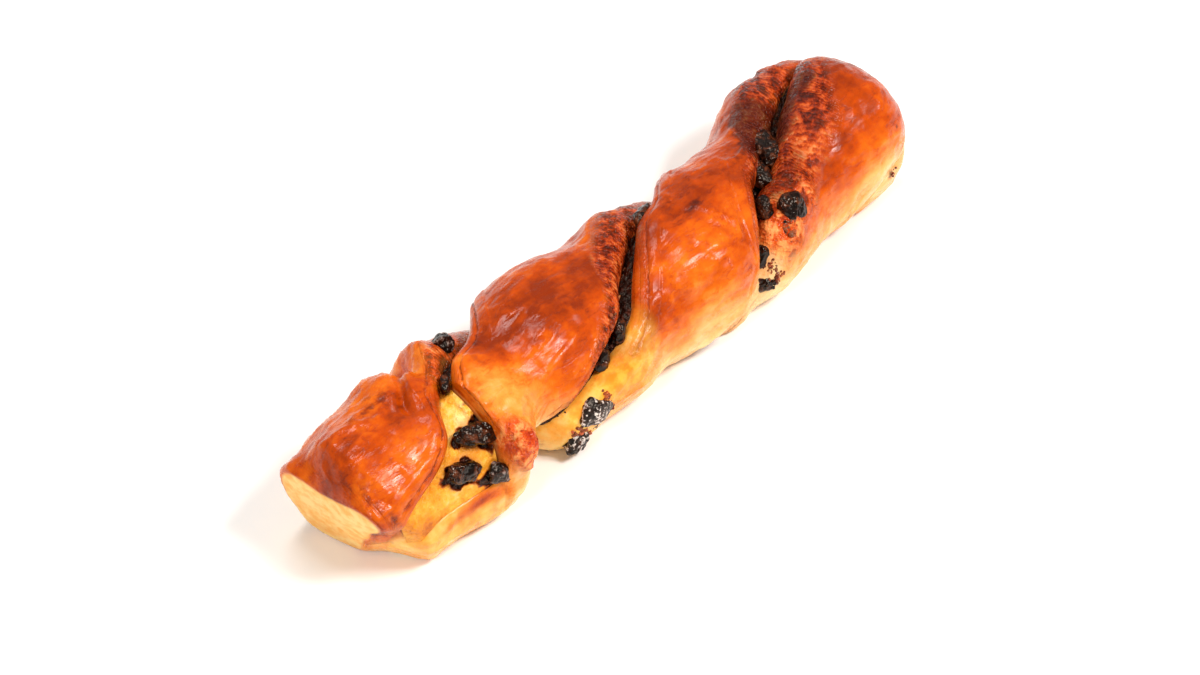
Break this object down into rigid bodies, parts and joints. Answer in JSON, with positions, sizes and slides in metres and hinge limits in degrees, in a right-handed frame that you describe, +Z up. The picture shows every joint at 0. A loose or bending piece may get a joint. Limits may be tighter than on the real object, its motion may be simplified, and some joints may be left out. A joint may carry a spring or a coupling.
{
  "type": "chocolate twist pastry",
  "caption": "Baked twist of laminated dough with a custard layer that shows along two winding seams, set with dark chocolate drops.",
  "frame": {"origin": "on the table under the middle of the twist", "axes": "+X along the twist towards its rounded end, +Z up, -Y towards the side with the open custard"},
  "size_m": [0.2014, 0.0506, 0.0366],
  "materials": {
    "crust": "egg-washed and baked golden brown",
    "custard": "moist",
    "chocolate": "dark, melted and set again"
  },
  "bodies": {
    "root": {"dough": "crust", "filling": "custard", "chocolate_01": "chocolate", "chocolate_02": "chocolate", "chocolate_03": "chocolate", "chocolate_04": "chocolate", "chocolate_05": "chocolate", "chocolate_06": "chocolate", "chocolate_07": "chocolate", "chocolate_08": "chocolate", "chocolate_09": "chocolate", "chocolate_10": "chocolate", "chocolate_11": "chocolate", "chocolate_12": "chocolate", "chocolate_13": "chocolate", "chocolate_14": "chocolate", "chocolate_15": "chocolate", "chocolate_16": "chocolate", "chocolate_17": "chocolate", "chocolate_18": "chocolate"}
  },
  "joints": []
}
